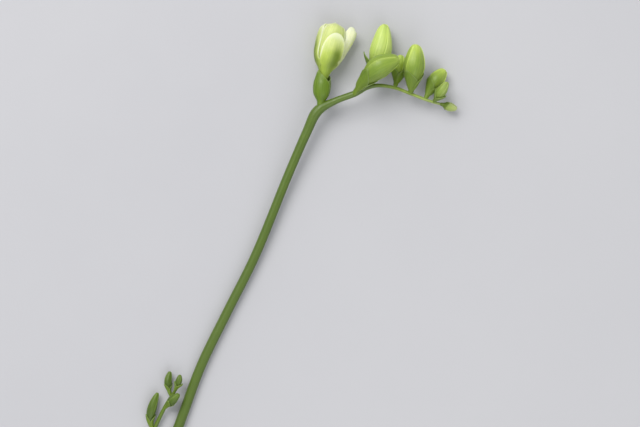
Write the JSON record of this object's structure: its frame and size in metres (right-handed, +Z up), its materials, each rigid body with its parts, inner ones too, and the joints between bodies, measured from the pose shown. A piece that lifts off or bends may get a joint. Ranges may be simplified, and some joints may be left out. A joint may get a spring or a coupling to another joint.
{
  "type": "freesia stem",
  "caption": "Single cut freesia stem lying on its side: arching comb of closed buds in green bracts, an opening cream flower at the bend, a side shoot and a narrow leaf.",
  "frame": {"origin": "bottom centre of the bounding box, on the surface that the stem lies on", "axes": "+X along the stem from its cut end towards the comb; +Z up, away from the surface; +Y across, so that the comb arches towards -Y"},
  "size_m": [0.4406, 0.0918, 0.0219],
  "materials": {
    "stem_green": "satin",
    "bract_green": "satin",
    "bud_green": "satin",
    "young_bud_green": "satin",
    "flower_cream": "satin"
  },
  "bodies": {
    "root": {"stem": "stem_green", "flower_1": "flower_cream", "bracts_1": "bract_green", "leaf": "stem_green", "bud_2": "bud_green", "bracts_2": "bract_green", "bud_3": "bud_green", "bracts_3": "bract_green", "bud_4": "bud_green", "bracts_4": "bract_green", "bud_5": "bud_green", "bracts_5": "bract_green", "bud_6": "bud_green", "bracts_6": "bract_green", "bud_7": "young_bud_green", "bracts_7": "bract_green", "bud_8": "young_bud_green", "bracts_8": "bract_green", "side_bud_1": "young_bud_green", "side_bracts_1": "bract_green", "side_bud_2": "young_bud_green", "side_bracts_2": "bract_green", "side_bud_3": "young_bud_green", "side_bracts_3": "bract_green", "side_bud_4": "young_bud_green", "side_bracts_4": "bract_green"}
  },
  "joints": []
}
